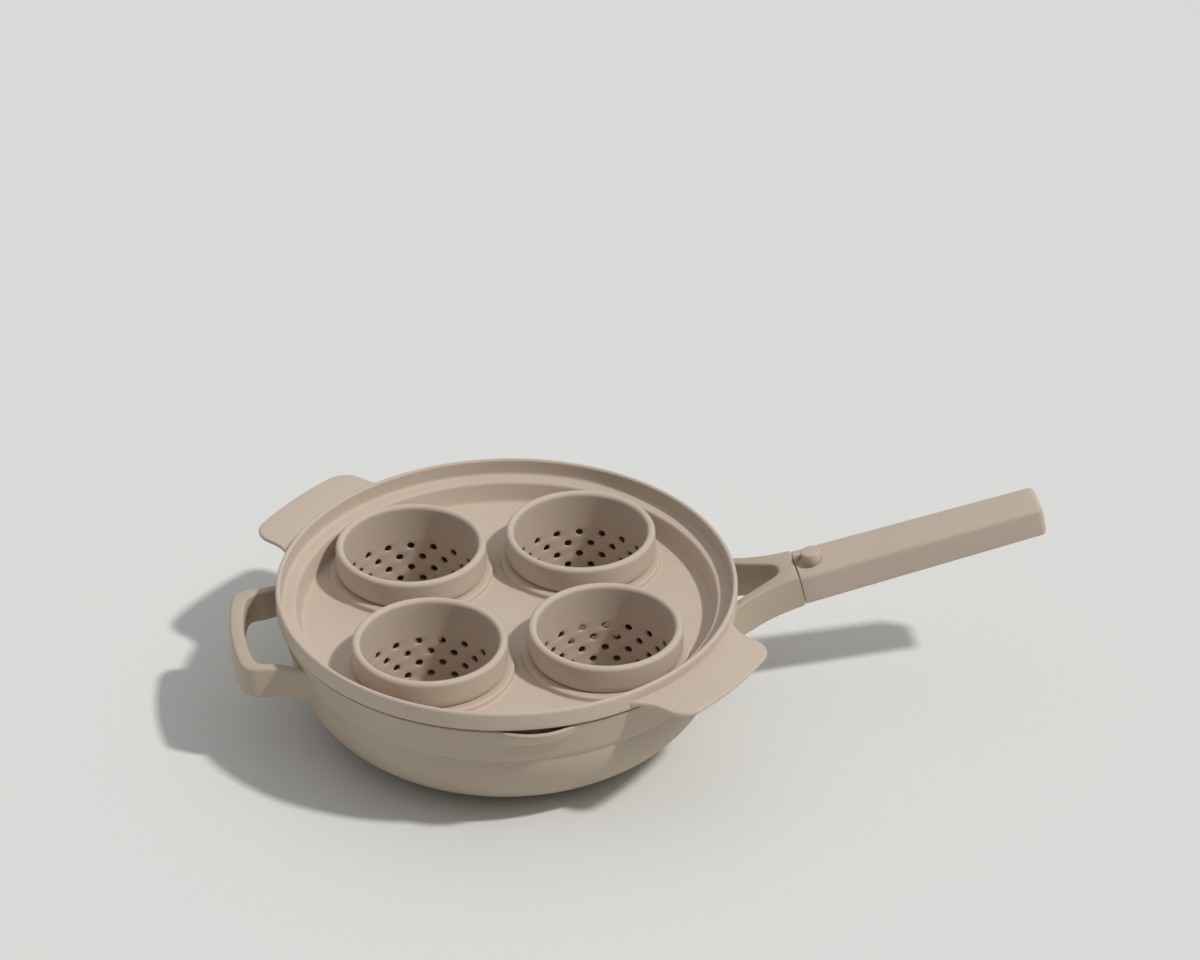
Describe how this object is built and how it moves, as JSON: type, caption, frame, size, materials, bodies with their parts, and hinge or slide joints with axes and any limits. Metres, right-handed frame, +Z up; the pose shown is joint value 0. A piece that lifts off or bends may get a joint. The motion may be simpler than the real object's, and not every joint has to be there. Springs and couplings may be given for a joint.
{
  "type": "egg poacher pan",
  "caption": "Cast pan with an angled grip, a helper loop and pour spouts, closed by a soft tray that holds perforated egg cups which lift out.",
  "frame": {"origin": "on the pan's axis, on the table, in the middle of the base", "axes": "+X along the long handle, +Z up, the pour spouts at +Y and -Y"},
  "size_m": [0.4803, 0.2762, 0.1144],
  "materials": {
    "pan_cast": "cast aluminium under a matte warm grey-beige enamel, pale grey ceramic coat inside",
    "base_steel": "ground steel disc let into the base",
    "grip_plastic": "soft-touch matte moulding, pinkish beige",
    "insert_brass": "plain turned brass",
    "screw_steel": "bright stainless steel",
    "silicone": "matte pinkish beige silicone"
  },
  "bodies": {
    "pan": {"pan_body": "pan_cast", "induction_plate": "base_steel", "handle_grip": "grip_plastic", "rest_peg": "grip_plastic", "peg_insert": "insert_brass", "handle_screw": "screw_steel", "lock_washer": "screw_steel"},
    "tray": {"poacher_tray": "silicone"},
    "cup_rear_left": {"egg_cup_rear_left": "silicone"},
    "cup_rear_right": {"egg_cup_rear_right": "silicone"},
    "cup_front_left": {"egg_cup_front_left": "silicone"},
    "cup_front_right": {"egg_cup_front_right": "silicone"}
  },
  "joints": [
    {"name": "tray_lift", "type": "slide", "parent": "pan", "child": "tray", "axis": [0, 0, 1], "range_m": [0, 0.1]},
    {"name": "cup_rear_left_lift", "type": "slide", "parent": "tray", "child": "cup_rear_left", "axis": [0, 0, 1], "range_m": [0, 0.075]},
    {"name": "cup_rear_right_lift", "type": "slide", "parent": "tray", "child": "cup_rear_right", "axis": [0, 0, 1], "range_m": [0, 0.075]},
    {"name": "cup_front_left_lift", "type": "slide", "parent": "tray", "child": "cup_front_left", "axis": [0, 0, 1], "range_m": [0, 0.075]},
    {"name": "cup_front_right_lift", "type": "slide", "parent": "tray", "child": "cup_front_right", "axis": [0, 0, 1], "range_m": [0, 0.075]}
  ]
}
